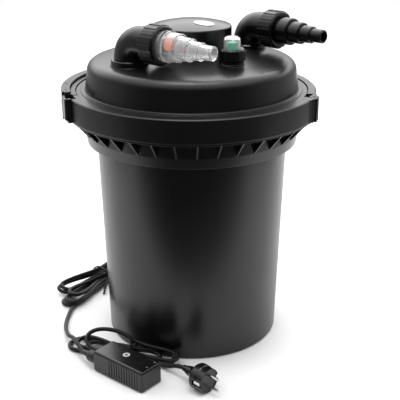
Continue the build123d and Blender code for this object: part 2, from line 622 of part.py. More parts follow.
keep(turned_along([(CAP_R - 9, 0), (CAP_R - 9, 5.9), (CAP_R, 5.9), (CAP_R, 8.6), (CAP_R + 4, 8.6),
                   (CAP_R + 5, 7.2), (CAP_R + 31.2, 4.4), (CAP_R + 31.2, 0)], gland_axis), "uv_cap_gland")

keep(turned([(24.2, 426), (30, 426), (30, 436), (41.6, 436), (41.6, 451.5), (54, 451.5), (54, 456),
             (21, 456), (21, 440), (24.2, 440)]), "uv_head_base")
keep(turned([(44, LID_LAND_Z), (53, LID_LAND_Z), (53, 451.5), (44, 451.5)]), "uv_head_seal")
keep(turned([(24.6, 420), (36, 420), (36, 434), (30.1, 434), (30.1, 423), (24.6, 423)]), "sleeve_nut")
keep(turned([(SLEEVE_R, 423), (29.9, 423), (29.9, 426), (SLEEVE_R, 426)]), "sleeve_seal")

with BuildPart() as quartz_sleeve:
    with BuildSketch(head):
        with BuildLine():
            Line((SLEEVE_R, 440), (SLEEVE_R, SLEEVE_LOW_Z + SLEEVE_R))
            ThreePointArc((SLEEVE_R, SLEEVE_LOW_Z + SLEEVE_R),
                          (SLEEVE_R * sin(radians(45)), SLEEVE_LOW_Z + SLEEVE_R * (1 - cos(radians(45)))),
                          (0, SLEEVE_LOW_Z))
            Line((0, SLEEVE_LOW_Z), (0, SLEEVE_LOW_Z + 2))
            ThreePointArc((0, SLEEVE_LOW_Z + 2),
                          (22 * sin(radians(45)), SLEEVE_LOW_Z + 2 + 22 * (1 - cos(radians(45)))),
                          (22, SLEEVE_LOW_Z + SLEEVE_R))
            Polyline((22, SLEEVE_LOW_Z + SLEEVE_R), (22, 440), (SLEEVE_R, 440))
        make_face()
    revolve(axis=Axis.Z)
keep(quartz_sleeve.part, "quartz_sleeve")

with BuildPart() as uv_lamp:
    with Locations((0, 0, 424)):
        Cylinder(19.5, 20, align=MIDDLE)
    for x in (-10.4, 10.4):
        with Locations((x, 0, 216)):
            Cylinder(8.6, 208, align=MIDDLE)
    with Locations((0, 0, 222)):
        Box(14, 6, 8)
keep(uv_lamp.part, "uv_lamp")

with BuildPart() as lamp_socket:
    with Locations((0, 0, 444)):
        Cylinder(20, 12, align=MIDDLE)
    with Locations((0, 0, 456)):
        Cylinder(23, 8, align=MIDDLE)
    fillet(lamp_socket.edges().group_by(Axis.Z)[-1], 2)
keep(lamp_socket.part, "lamp_socket")

# ---------------------------------------------------------------- inside the drum
keep(upright([(DOWNPIPE_R - 3, 26), (DOWNPIPE_R, 26), (DOWNPIPE_R, BOSS_LOW_Z), (DOWNPIPE_R - 3, BOSS_LOW_Z)],
             PIPE_XY["inlet"]), "inlet_downpipe")


def media_disc(z_low, height, centre_hole):
    """Disc of the media stack with holes for the downpipe, the lamp sleeve and the tie rods."""
    with BuildPart() as disc:
        with Locations((0, 0, z_low)):
            Cylinder(MEDIA_R, height, align=MIDDLE)
        with Locations((*PIPE_XY["inlet"], z_low)):
            Cylinder(DOWNPIPE_R + 0.5, 3 * height, mode=Mode.SUBTRACT)
        with Locations(*[polar(ROD_CIRCLE_R, a, z_low) for a in ROD_DEGS]):
            Cylinder(ROD_R + 0.1, 3 * height, mode=Mode.SUBTRACT)
        if centre_hole:
            with Locations((0, 0, z_low)):
                Cylinder(centre_hole, 3 * height, mode=Mode.SUBTRACT)
    return disc.part


def media_grid(z_low):
    """Flat grid: outer band, hub and rows of slots, 5 mm thick."""
    grid = media_disc(z_low, 5, 0)
    with BuildPart() as slots:
        with BuildSketch(Plane.XY.offset(z_low - 1)):
            with GridLocations(26, 12, 7, 17):
                SlotOverall(20, 6)
        extrude(amount=8)
    with BuildPart() as keep_in:
        with Locations((0, 0, z_low - 1)):
            Cylinder(96, 8, align=MIDDLE)
        with Locations((*PIPE_XY["inlet"], z_low - 1)):
            Cylinder(DOWNPIPE_R + 5, 30, mode=Mode.SUBTRACT)
    return grid - (slots.part & keep_in.part)


LOWER_GRID_Z, UPPER_GRID_Z = 60.0, 128.0
FOAM_T = 69.0
keep(media_grid(LOWER_GRID_Z) + media_grid(UPPER_GRID_Z), "media_grids")
with BuildPart() as bio_balls:
    ball_places = [polar(ring_r, 360 / count * i + 8, LOWER_GRID_Z + 21 + layer * 30)
                   for layer in range(2) for ring_r, count in ((34, 6), (80, 12))
                   for i in range(count)]
    ball_places = [p for p in ball_places
                   if hypot(p[0] - PIPE_XY["inlet"][0], p[1] - PIPE_XY["inlet"][1]) > DOWNPIPE_R + 15]
    with Locations(*ball_places):
        Sphere(14.4)
keep(bio_balls.part, "bio_balls")
FOAM_Z = UPPER_GRID_Z + 5
keep(media_disc(FOAM_Z, FOAM_T, SLEEVE_R + 6), "coarse_foam")
keep(media_disc(FOAM_Z + FOAM_T, FOAM_T, SLEEVE_R + 6), "fine_foam")

with BuildPart() as tie_rods:
    with Locations(*[polar(ROD_CIRCLE_R, a, WALL) for a in ROD_DEGS]):
        Cylinder(ROD_R, FOAM_Z + 2 * FOAM_T + 8 - WALL, align=MIDDLE)
    with Locations(*[polar(ROD_CIRCLE_R, a, FOAM_Z + 2 * FOAM_T) for a in ROD_DEGS]):
        Cylinder(ROD_R + 5, 5, align=MIDDLE)
    with Locations(*[polar(ROD_CIRCLE_R, a, LOWER_GRID_Z - 5) for a in ROD_DEGS]):
        Cylinder(ROD_R + 5, 5, align=MIDDLE)
keep(tie_rods.part, "tie_rods")

# ---------------------------------------------------------------- ballast box
box_plane = Plane(origin=(*BOX_XY, 0), x_dir=(cos(radians(BOX_DEG)), sin(radians(BOX_DEG)), 0), z_dir=(0, 0, 1))
RECESS_AT, RECESS_SIZE = (32.0, 4.0), (13.0, 25.0)
SCREWS_AT = ((41.2, -3.5), (41.2, 13.5))
SCREW_R = 1.8
RIB_FIRST_U, RIB_PITCH = -18.8, 5.1


def in_box(u, v, z):
    """Point in the ballast box's own frame: u towards its right end, v towards its rear."""
    return tuple(box_plane.from_local_coords((u, v, z)))


with BuildPart() as ballast_box:
    with BuildSketch(box_plane):
        Rectangle(BOX_LENGTH, BOX_WIDTH)
    extrude(amount=BOX_HEIGHT)
    long_edges = ballast_box.edges().filter_by(Axis((0, 0, 0), box_plane.x_dir))
    end_edges = ballast_box.faces().sort_by(Axis(box_plane.origin, box_plane.x_dir))[-1].edges()
    fillet(ShapeList({*long_edges, *end_edges}), BOX_EDGE)
    with BuildSketch(box_plane.offset(BOX_WALL)):
        with Locations((-BOX_WALL, 0)):
            Rectangle(BOX_LENGTH, BOX_WIDTH - 2 * BOX_WALL)
    extrude(amount=BOX_HEIGHT - 2 * BOX_WALL - 1.5, mode=Mode.SUBTRACT)
    with BuildSketch(box_plane.offset(BOX_HEIGHT - 1.2)):
        with Locations(RECESS_AT):
            RectangleRounded(*RECESS_SIZE, 1.5)
        with Locations(*SCREWS_AT):
            Circle(SCREW_R)
    extrude(amount=5, mode=Mode.SUBTRACT)
    front = Plane(origin=in_box(0, -BOX_WIDTH / 2, 0), x_dir=box_plane.x_dir, z_dir=-box_plane.y_dir)
    with BuildSketch(front.offset(-0.5)):
        for i in range(12):
            with Locations((RIB_FIRST_U + RIB_PITCH * i, 17)):
                Rectangle(2.0, 28)
    extrude(amount=1.3)
    back = Plane(origin=in_box(0, BOX_WIDTH / 2, 0), x_dir=box_plane.x_dir, z_dir=box_plane.y_dir)
    with BuildSketch(back.offset(-0.5)):
        for i in range(12):
            with Locations((RIB_FIRST_U + RIB_PITCH * i, -17)):
                Rectangle(2.0, 28)
    extrude(amount=1.3)
keep(ballast_box.part, "ballast_box")

END_CAP_T = 2.0
with BuildPart() as ballast_end_cap:
    with BuildSketch(Plane(origin=in_box(-BOX_LENGTH / 2, 0, BOX_HEIGHT / 2), x_dir=box_plane.y_dir,
                           z_dir=-box_plane.x_dir)):
        RectangleRounded(BOX_WIDTH - 0.6, BOX_HEIGHT - 0.6, BOX_EDGE)
    extrude(amount=END_CAP_T)
keep(ballast_end_cap.part, "ballast_end_cap")

with BuildPart() as ballast_glands:
    for v in BOX_GLANDS_V:
        add(turned_along([(END_CAP_T, 0), (END_CAP_T, 8.3), (6, 8.3), (6.6, 7.8), (8, 7.8), (8.6, 8.6),
                          (18, 8.6), (20.4, 7.8), (21, 5.2), (BOX_GLAND_LENGTH, 4.0),
                          (BOX_GLAND_LENGTH, 0)],
                         axis_plane(in_box(-BOX_LENGTH / 2, v, BOX_GLAND_Z), BOX_DEG + 180)))
keep(ballast_glands.part, "ballast_glands")

with BuildPart() as ballast_cover_screws:
    with BuildSketch(box_plane.offset(BOX_HEIGHT - 1.2)):
        with Locations(*SCREWS_AT):
            Circle(SCREW_R - 0.05)
    extrude(amount=1.0)
    with BuildSketch(box_plane.offset(BOX_HEIGHT - 0.7)):
        with Locations(*SCREWS_AT):
            Rectangle(2.2, 0.6, rotation=35)
            Rectangle(0.6, 2.2, rotation=35)
    extrude(amount=2, mode=Mode.SUBTRACT)
keep(ballast_cover_screws.part, "ballast_cover_screws")

with BuildPart() as ballast_badge:
    with BuildSketch(box_plane.offset(BOX_HEIGHT)):
        with Locations((-5, 2.3)):
            Circle(5.4)
    extrude(amount=0.4)
keep(ballast_badge.part, "ballast_badge")

with BuildPart() as ballast_core:
    with BuildSketch(box_plane.offset(BOX_WALL)):
        Rectangle(60, 26)
    extrude(amount=24)
    fillet(ballast_core.edges().filter_by(Axis.Z), 3)
keep(ballast_core.part, "ballast_core")

# ---------------------------------------------------------------- mains plug
plug_axis = axis_plane(PLUG_AT, PLUG_DEG)
PLUG_FACE = 18.0
PIN_SPREAD = 9.5
face_plane = end_plane(plug_axis, PLUG_FACE)
with BuildPart() as plug_body:
    add(turned_along([(-PLUG_BOOT, 0), (-PLUG_BOOT, 4.4), (-27, 5.2), (-26.5, 6.2), (-22, 6.6), (-21.5, 7.6),
                      (-16, 8.2), (-12, 11), (-6, 17.5), (-3, PLUG_R), (6, PLUG_R), (8, 18.6),
                      (PLUG_FACE, 18.3), (PLUG_FACE, 16.4), (PLUG_FACE - 1, 16.2), (PLUG_FACE - 1, 0)], plug_axis))
    for flank in (-1, 1):
        with BuildSketch(face_plane):
            with Locations((flank * 19.5, 0)):
                Rectangle(7, 8)
        extrude(amount=-16, mode=Mode.SUBTRACT)
    with BuildSketch(face_plane.offset(-1)):
        with Locations((10, 0)):
            Circle(2.6)
    extrude(amount=-12, mode=Mode.SUBTRACT)
keep(plug_body.part, "plug_body")

with BuildPart() as plug_pins:
    with BuildSketch(face_plane.offset(-1)):
        with Locations((0, PIN_SPREAD), (0, -PIN_SPREAD)):
            Circle(2.4)
    extrude(amount=20)
    fillet(plug_pins.edges().filter_by(GeomType.CIRCLE).group_by(Axis(plug_axis.origin, plug_axis.x_dir))[-1], 1.2)
    for flank in (-1, 1):
        with BuildSketch(face_plane.offset(-3)):
            with Locations((flank * 16.6, 0)):
                Rectangle(1.2, 5)
        extrude(amount=-11)
keep(plug_pins.part, "plug_pins")

# ---------------------------------------------------------------- leads
cord(LAMP_CORD_UPPER, "lamp_cord_upper")
cord(LAMP_CORD_LOWER, "lamp_cord_lower")
cord(MAINS_CORD_LEAD, "mains_cord_lead")
cord(MAINS_CORD_TAIL, "mains_cord_tail")


def lobe(circles, height):
    """Upright solid over the hull of two or more circles, ((x, y), radius) each."""
    with BuildPart() as bundle:
        with BuildSketch(Plane.XY):
            with BuildLine(mode=Mode.PRIVATE) as rims:
                for centre, radius in circles:
                    CenterArc(centre, radius, 0, 360)
            make_hull(rims.edges())
        extrude(amount=height)
        chamfer(bundle.edges().group_by(Axis.Z)[-1], 4)
    return bundle.part


with BuildPart() as lamp_cord_hank:
    add(lobe(LAMP_HANK[:2], LAMP_HANK_H))
    add(lobe(LAMP_HANK[1:], LAMP_HANK_H))
keep(lamp_cord_hank.part, "lamp_cord_hank")

with BuildPart() as mains_cord_hank:
    add(lobe(MAINS_HANK[:2], MAINS_HANK_HEIGHTS[0]))
    add(lobe(MAINS_HANK[1:], MAINS_HANK_HEIGHTS[1]))
keep(mains_cord_hank.part, "mains_cord_hank")


def tie(centre, angle_deg, width, height):
    """Twisted wire tie round a hank, seen as a flat loop with a short twisted tail."""
    band = axis_plane((*centre, 0), angle_deg)
    with BuildPart() as loop:
        with BuildSketch(end_plane(band, -1.5)):
            with Locations((0, height / 2)):
                RectangleRounded(width, height, 7)
                RectangleRounded(width - 1.8, height - 1.8, 6.1, mode=Mode.SUBTRACT)
        extrude(amount=3)
    return loop.part


with BuildPart() as cord_ties:
    add(tie((-164.0, 131.0), 51.5, 36.0, 31.0))
    add(tie((-92.0, -125.5), -21.0, 31.0, 26.0))
keep(cord_ties.part, "cord_ties")
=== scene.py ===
"""Looks of the pressurized pond filter: leads, ties, foam, moulded finishes, floor, light and camera.

Metres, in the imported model's own frame.  +Z is up and -Y is the front.
"""

from math import cos, pi, radians, sin

import bmesh
import bpy
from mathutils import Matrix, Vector, noise


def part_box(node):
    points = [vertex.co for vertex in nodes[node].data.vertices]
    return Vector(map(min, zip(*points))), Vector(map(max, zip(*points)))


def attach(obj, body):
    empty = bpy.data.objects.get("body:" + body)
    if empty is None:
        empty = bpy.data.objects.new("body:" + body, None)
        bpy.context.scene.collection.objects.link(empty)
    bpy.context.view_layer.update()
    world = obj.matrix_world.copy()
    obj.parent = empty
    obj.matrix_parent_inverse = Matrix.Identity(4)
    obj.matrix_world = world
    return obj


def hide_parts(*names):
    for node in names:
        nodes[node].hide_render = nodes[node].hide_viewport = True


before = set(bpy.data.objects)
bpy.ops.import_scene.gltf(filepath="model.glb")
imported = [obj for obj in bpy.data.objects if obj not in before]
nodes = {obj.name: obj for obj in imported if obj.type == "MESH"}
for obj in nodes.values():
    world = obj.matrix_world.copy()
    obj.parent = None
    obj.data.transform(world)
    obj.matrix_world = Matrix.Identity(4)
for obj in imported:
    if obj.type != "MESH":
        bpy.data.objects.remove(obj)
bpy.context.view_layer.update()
scene = bpy.context.scene
MM = 0.001


# ---------------------------------------------------------------- camera
CAMERA_AT = (0.0, -1.309, 0.7113)
CAMERA_TILT_DEG = 69.02                 # 90 would look level
CAMERA_TURN_DEG = -0.54
LENS_MM, SENSOR_MM = 79.4, 36.0

camera_data = bpy.data.cameras.new("camera")
camera_data.lens = LENS_MM
camera_data.sensor_width = SENSOR_MM
camera_data.clip_start = 0.05
camera = bpy.data.objects.new("camera", camera_data)
camera.location = CAMERA_AT
camera.rotation_euler = (radians(CAMERA_TILT_DEG), 0.0, radians(CAMERA_TURN_DEG))
scene.collection.objects.link(camera)
scene.camera = camera


# ---------------------------------------------------------------- leads
CORD_R = 3.25
FOLD_SWELL = 1.08                       # a fold's control points lie this much outside its line
FOLD_DEGS = (67.5, 22.5, -22.5, -67.5)

# The stretches that aren't wound, in millimetres.
LAMP_CORD_UPPER = [
    (-23.4, 87.4, 463.0), (-28.0, 106.0, 461.5), (-40.0, 139.0, 455.0), (-54.0, 172.0, 434.0),
    (-66.0, 197.0, 392.0), (-72.0, 207.0, 336.0), (-74.0, 204.0, 266.0), (-79.0, 207.0, 196.0),
    (-78.0, 211.0, 128.0), (-70.0, 222.0, 78.0), (-63.0, 236.0, 44.0), (-70.0, 245.0, 20.0),
    (-87.0, 241.0, 9.0), (-104.0, 226.0, 9.0),
]
LAMP_CORD_LOWER = [
    (-203.0, 34.0, 5.0), (-206.5, 7.0, 4.2), (-208.4, -19.5, 3.6), (-205.5, -48.9, 5.5),
    (-195.5, -88.8, 16.0), (-184.5, -102.4, 19.5), (-178.0, -119.0, 19.5), (-165.7, -140.3, 17.0),
]
MAINS_CORD_LEAD = [
    (-154.1, -126.5, 17.0), (-160.5, -121.1, 18.0), (-165.0, -112.0, 23.0), (-160.0, -101.0, 29.0),
    (-144.0, -95.5, 32.0), (-121.0, -100.0, 32.0), (-101.0, -110.5, 28.0), (-84.0, -122.0, 22.0),
]
MAINS_CORD_TAIL = [
    (-50.0, -158.0, 5.5), (-36.5, -169.5, 9.0), (-24.5, -179.3, 16.5), (-13.5, -190.0, 19.5),
]
LAMP_HANK_ENDS = ((-108.0, 203.0), (-222.0, 56.0))
MAINS_HANK_ENDS = ((-36.0, -150.5), (-175.0, -93.0))


class Hank:
    """Plan frame of a hank: s runs from its first end to its second, t is across, z is up."""

    def __init__(self, ends):
        first, second = (Vector((*end, 0.0)) for end in ends)
        self.origin = first
        self.length = (second - first).length
        self.along = (second - first).normalized()
        self.across = Vector((0, 0, 1)).cross(self.along) * -1

    def point(self, s, t, z):
        place = self.origin + self.along * s + self.across * t
        return (place.x, place.y, z)

    def leg(self, start, waist, end):
        """Strand from one end loop to the other, drawn together where the tie holds it."""
        points = []
        for a, b, steps in ((start, waist, (0.3, 0.68)), (waist, end, (0.0, 0.32, 0.7))):
            for f in steps:
                ease = f * f * (3 - 2 * f)
                points.append(self.point(
                    a[0] + (b[0] - a[0]) * f, a[1] + (b[1] - a[1]) * ease, a[2] + (b[2] - a[2]) * ease))
        return points

    def loop(self, fold, outward, turn):
        """Rounded fold (s, t, half width, z in, z out): outward is 1 at the second end, -1 at the first."""
        s, t, width, z_in, z_out = fold
        radius = width * FOLD_SWELL
        points = []
        for i, angle in enumerate(FOLD_DEGS):
            points.append(self.point(
                s + outward * radius * cos(radians(angle)),
                t + turn * outward * radius * sin(radians(angle)),
                z_in + (z_out - z_in) * (i + 0.5) / len(FOLD_DEGS)))
        return points


def lead(name, points, stands_for):
    """Round sheathed lead on one smooth NURBS line."""
    curve = bpy.data.curves.new(name, "CURVE")
    curve.dimensions = "3D"
    spline = curve.splines.new("NURBS")
    spline.points.add(len(points) - 1)
    for place, point in zip(spline.points, points):
        place.co = (point[0] * MM, point[1] * MM, point[2] * MM, 1.0)
        place.radius = CORD_R * MM
    spline.order_u = 3
    spline.use_endpoint_u = True
    curve.resolution_u = 8
    curve.bevel_depth = 1.0              # scaled by each point's radius
    curve.bevel_resolution = 5
    piece = bpy.data.objects.new(name, curve)
    scene.collection.objects.link(piece)
    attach(piece, "root")
    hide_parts(*stands_for)
    return piece


# Turns of the lamp lead's hank.  Each is its strand at the tie going out and coming back, (t, z),
# its front fold and its rear fold, (s from that end, t, half width, z in, z out).
LAMP_TURNS = [
    ((13.0, 4.0), (-6.5, 4.0), (-5.0, -14.0, 15.0, 4.0, 4.0), (0.0, 1.0, 16.0, 5.0, 11.0)),
    ((6.5, 4.2), (0.0, 4.2), (-13.0, -16.0, 14.0, 10.4, 9.0), (-5.0, 3.0, 14.0, 12.5, 17.0)),
    ((10.0, 10.8), (-10.0, 10.8), (-4.0, -20.0, 13.0, 13.0, 11.0), (3.0, -1.0, 17.0, 17.0, 22.0)),
    ((3.3, 11.0), (-3.3, 11.0), (-20.0, -13.0, 13.5, 18.0, 16.5), (-9.0, 2.0, 14.0, 21.0, 26.0)),
    ((7.5, 18.6), (-6.5, 18.6), (-25.0, 22.5, 10.8, 13.0, 5.0), (-1.0, 0.0, 15.0, 26.0, 34.0)),
    ((2.0, 28.0), (0.6, 18.4), (-30.0, 21.0, 10.4, 17.5, 9.0), (-12.0, -2.0, 13.0, 31.0, 24.0)),
]
LAMP_START = (6.0, 12.0, 8.0)
LAMP_EXIT_AT_TIE = (-14.5, 6.5)
LAMP_EXIT = (-22.0, -25.0, 7.0)         # s from the front end, t and z

# Turns of the mains lead's hank, from its right end: strand at the tie going left and coming back,
# left fold, right fold.
MAINS_TURNS = [
    ((-9.0, 4.0), (11.0, 4.2), (-3.0, -2.0, 19.5, 4.0, 4.2), (3.0, 1.0, 9.5, 13.5, 5.0)),
    ((-2.5, 4.4), (4.2, 10.4), (-13.0, -1.0, 16.5, 9.6, 10.2), (-4.0, 2.0, 9.0, 17.0, 10.5)),
    ((-6.0, 10.6), (9.0, 10.8), (-30.0, -4.0, 15.0, 10.4, 6.0), None),
]
MAINS_WAIST = 83.0
MAINS_START_FOLD = (0.0, 0.0, 9.5, 18.0, 6.0)
MAINS_END = (-12.0, 8.0, 12.0)          # s from the right end, t and z


def lamp_hank_route():
    """Control points of the lamp lead's turns and of its way out to the ballast box."""
    hank = Hank(LAMP_HANK_ENDS)
    waist = hank.length / 2
    points = []
    rear = LAMP_START
    for out_at, back_at, front, back in LAMP_TURNS:
        s, t, width, z_in, z_out = front
        s += hank.length
        points += hank.leg(rear, (waist, *out_at), (s, t + width, z_in))
        points += hank.loop((s, *front[1:]), 1, 1)
        s_rear, t_rear, rear_width, rear_in, rear_out = back
        points += hank.leg((s, t - width, z_out), (waist, *back_at), (s_rear, t_rear - rear_width, rear_in))
        points += hank.loop(back, -1, 1)
        rear = (s_rear, t_rear + rear_width, rear_out)
    s, t, z = LAMP_EXIT
    return points + hank.leg(rear, (waist, *LAMP_EXIT_AT_TIE), (hank.length + s, t, z))


def mains_hank_route():
    """Control points of the mains lead's turns, from the end of its arch to its tail."""
    hank = Hank(MAINS_HANK_ENDS)
    points = [hank.point(30.0, 7.0, 20.2), hank.point(12.0, 8.5, 19.4)]
    right_fold = MAINS_START_FOLD
    for left_at, back_at, left, next_fold in MAINS_TURNS:
        points += hank.loop(right_fold, -1, -1)
        s, t, width, z_in, z_out = left
        s += hank.length
        right = (right_fold[0], right_fold[1] - right_fold[2], right_fold[4])
        points += hank.leg(right, (MAINS_WAIST, *left_at), (s, t - width, z_in))
        points += hank.loop((s, *left[1:]), 1, -1)
        right_fold = next_fold
        back = (right_fold[0], right_fold[1] + right_fold[2], right_fold[3]) if right_fold else MAINS_END
        points += hank.leg((s, t + width, z_out), (MAINS_WAIST, *back_at), back)
    return points


lamp_lead = lead(
    "lamp_lead", LAMP_CORD_UPPER + lamp_hank_route() + LAMP_CORD_LOWER,
    ("lamp_cord_upper", "lamp_cord_hank", "lamp_cord_lower"))
mains_lead = lead(
    "mains_lead", MAINS_CORD_LEAD + mains_hank_route() + MAINS_CORD_TAIL,
    ("mains_cord_lead", "mains_cord_hank", "mains_cord_tail"))

# ---------------------------------------------------------------- wire ties
WRAP_POINTS, WRAP_STEP_DEG, WRAP_START_DEG = 40, 18, 250
WRAP_PITCH = 0.08                       # each point of a wrap lies this much further along the hank
TWIST_POINTS, TWIST_HALF_TURNS = 22, 7
TWIST_R = 1.3


def wire(name, strands, radius):
    """Bent wire as a mesh: one tube along each strand's points, joined into one piece."""
    curve = bpy.data.curves.new(name, "CURVE")
    curve.dimensions = "3D"
    curve.bevel_depth = radius * MM
    curve.bevel_resolution = 3
    curve.resolution_u = 6
    curve.use_fill_caps = True
    for strand in strands:
        spline = curve.splines.new("NURBS")
        spline.points.add(len(strand) - 1)
        for place, point in zip(spline.points, strand):
            place.co = (point[0] * MM, point[1] * MM, point[2] * MM, 1.0)
        spline.order_u = 3
        spline.use_endpoint_u = True
    maker = bpy.data.objects.new(name + "_maker", curve)
    piece = bpy.data.objects.new(name, bpy.data.meshes.new_from_object(maker))
    bpy.data.objects.remove(maker)
    scene.collection.objects.link(piece)
    for polygon in piece.data.polygons:
        polygon.use_smooth = True
    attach(piece, "root")
    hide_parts("cord_ties")
    return piece


def tie_wires(hank, s, half_width, low, high, tail):
    """Two wraps of coated wire round a hank at s, with its ends twisted together and hanging along tail."""
    wraps = []
    for turn in range(WRAP_POINTS):
        angle = radians(turn * WRAP_STEP_DEG + WRAP_START_DEG)
        wraps.append(hank.point(s - 1.6 + turn * WRAP_PITCH, half_width * cos(angle) * (1.06 - 0.06 * cos(2 * angle)),
                                (low + high) / 2 + (high - low) / 2 * sin(angle)))
    twists = []
    for phase in (0, pi):
        strand = [wraps[0] if phase else wraps[-1]]
        for i in range(TWIST_POINTS):
            f = i / (TWIST_POINTS - 1)
            spine = [sum(w * p[k] for w, p in zip(((1 - f) ** 2, 2 * f * (1 - f), f * f), tail)) for k in range(3)]
            swing = TWIST_R * min(1, 4 * f)
            turn = phase + f * TWIST_HALF_TURNS * pi
            strand.append((spine[0] + swing * cos(turn), spine[1] + swing * cos(turn) * 0.4,
                           max(1.6, spine[2] + swing * sin(turn))))
        twists.append(strand)
    return [wraps, *twists]


lamp_hank = Hank(LAMP_HANK_ENDS)
lamp_tie_at = lamp_hank.length / 2
lamp_tie = wire("lamp_hank_tie", tie_wires(
    lamp_hank, lamp_tie_at, 18.2, 1.4, 31.4,
    (lamp_hank.point(lamp_tie_at + 2, -16.5, 13.0), lamp_hank.point(lamp_tie_at + 15, -28.0, 13.0),
     lamp_hank.point(lamp_tie_at + 33, -37.5, 2.6))), 1.2)
mains_hank = Hank(MAINS_HANK_ENDS)
mains_tie = wire("mains_hank_tie", tie_wires(
    mains_hank, 62.0, 14.6, 1.4, 22.6,
    (mains_hank.point(62, 0.0, 22.4), mains_hank.point(64, 3.0, 29.0), mains_hank.point(70, 7.0, 30.0))), 1.0)


# ---------------------------------------------------------------- finishes
class Finish:
    """Builds one procedural material around a Principled shader."""

    def __init__(self, name):
        self.material = bpy.data.materials.new(name)
        self.material.use_nodes = True
        self.tree = self.material.node_tree
        self.shader = self.tree.nodes["Principled BSDF"]
        self.output = self.tree.nodes["Material Output"]
        self.place = self.node("ShaderNodeTexCoord").outputs["Object"]

    def node(self, kind, **settings):
        made = self.tree.nodes.new(kind)
        for key, value in settings.items():
            setattr(made, key, value)
        return made

    def link(self, source, target):
        self.tree.links.new(source, target)

    def noise(self, scale, detail=3.0, roughness=0.5, stretch=(1, 1, 1)):
        mapping = self.node("ShaderNodeMapping")
        mapping.inputs["Scale"].default_value = stretch
        self.link(self.place, mapping.inputs["Vector"])
        texture = self.node("ShaderNodeTexNoise")
        texture.inputs["Scale"].default_value = scale
        texture.inputs["Detail"].default_value = detail
        texture.inputs["Roughness"].default_value = roughness
        self.link(mapping.outputs["Vector"], texture.inputs["Vector"])
        return texture.outputs["Fac"]

    def spread(self, value, low, high, from_low=0.3, from_high=0.7):
        ranged = self.node("ShaderNodeMapRange")
        for key, number in (("From Min", from_low), ("From Max", from_high), ("To Min", low), ("To Max", high)):
            ranged.inputs[key].default_value = number
        self.link(value, ranged.inputs["Value"])
        return ranged.outputs["Result"]

    def mix(self, factor, first, second):
        """Colour mix; first and second are colours or sockets."""
        mixed = self.node("ShaderNodeMix", data_type="RGBA")
        self.link(factor, mixed.inputs["Factor"])
        for key, value in (("A", first), ("B", second)):
            socket = next(s for s in mixed.inputs if s.name == key and s.type == "RGBA")
            if isinstance(value, tuple):
                socket.default_value = (*value, 1.0)
            else:
                self.link(value, socket)
        return next(s for s in mixed.outputs if s.type == "RGBA")

    def math(self, operation, first, second=0.0, clamp=False):
        made = self.node("ShaderNodeMath", operation=operation, use_clamp=clamp)
        for socket, value in zip(made.inputs, (first, second)):
            if isinstance(value, (int, float)):
                socket.default_value = value
            else:
                self.link(value, socket)
        return made.outputs["Value"]

    def edges(self, radius):
        """(rounded normal, how near an edge a point is)."""
        bevel = self.node("ShaderNodeBevel", samples=6)
        bevel.inputs["Radius"].default_value = radius
        flat = self.node("ShaderNodeNewGeometry").outputs["Normal"]
        dot = self.node("ShaderNodeVectorMath", operation="DOT_PRODUCT")
        self.link(bevel.outputs["Normal"], dot.inputs[0])
        self.link(flat, dot.inputs[1])
        near = self.math("SUBTRACT", 1.0, dot.outputs["Value"], clamp=True)
        return bevel.outputs["Normal"], self.spread(near, 0.0, 1.0, 0.02, 0.25)

    def bump(self, height, strength, distance, normal=None):
        bump = self.node("ShaderNodeBump")
        bump.inputs["Strength"].default_value = strength
        bump.inputs["Distance"].default_value = distance
        self.link(height, bump.inputs["Height"])
        if normal is not None:
            self.link(normal, bump.inputs["Normal"])
        return bump.outputs["Normal"]

    def set(self, **values):
        for key, value in values.items():
            self.shader.inputs[key.replace("_", " ")].default_value = value


def moulded(name, colour, roughness, grain=0.05, edge=0.0009, wear=0.5, specular=0.5, mottle=0.18, coat=0.0):
    """Injection-moulded plastic: faint mottling, fine grain, handling marks and rubbed edges."""
    f = Finish(name)
    soft, near = f.edges(edge)
    cloud = f.noise(14.0, 4.0, 0.55)
    light = tuple(min(1.0, c * (1 + mottle) + 0.0005) for c in colour)
    dark = tuple(c * (1 - mottle) for c in colour)
    body = f.mix(f.spread(cloud, 0.0, 1.0), dark, light)
    scuffed = f.math("MULTIPLY", near, f.spread(f.noise(160.0, 5.0, 0.65), 0.15, wear, 0.35, 0.68))
    rubbed = tuple(min(1.0, c * 1.5 + 0.012) for c in colour)
    f.link(f.mix(scuffed, body, rubbed), f.shader.inputs["Base Color"])
    smear = f.spread(f.noise(9.0, 3.0, 0.6, (1.0, 1.0, 0.45)), roughness - 0.05, roughness + 0.06)
    f.link(f.math("ADD", smear, f.math("MULTIPLY", near, 0.06)), f.shader.inputs["Roughness"])
    fine = f.noise(1500.0, 2.0, 0.5)
    orange_peel = f.noise(120.0, 2.0, 0.4)
    normal = f.bump(orange_peel, grain * 1.2, 0.0004, soft)
    f.link(f.bump(fine, grain * 4, 0.00012, normal), f.shader.inputs["Normal"])
    f.set(Specular_IOR_Level=specular, Coat_Weight=coat, Coat_Roughness=0.12)
    return f


def rubber(name, colour, roughness, specular=0.5):
    """Soft extruded or moulded rubber: fine drag marks and dust held in its surface."""
    f = Finish(name)
    dusty = f.spread(f.noise(60.0, 5.0, 0.6), 0.0, 0.5, 0.45, 0.75)
    f.link(f.mix(dusty, colour, tuple(c * 1.5 + 0.004 for c in colour)), f.shader.inputs["Base Color"])
    f.link(f.spread(f.noise(35.0, 3.0), roughness - 0.06, roughness + 0.08), f.shader.inputs["Roughness"])
    f.link(f.bump(f.noise(900.0, 3.0, 0.6), 0.2, 0.00012), f.shader.inputs["Normal"])
    f.set(Specular_IOR_Level=specular)
    return f


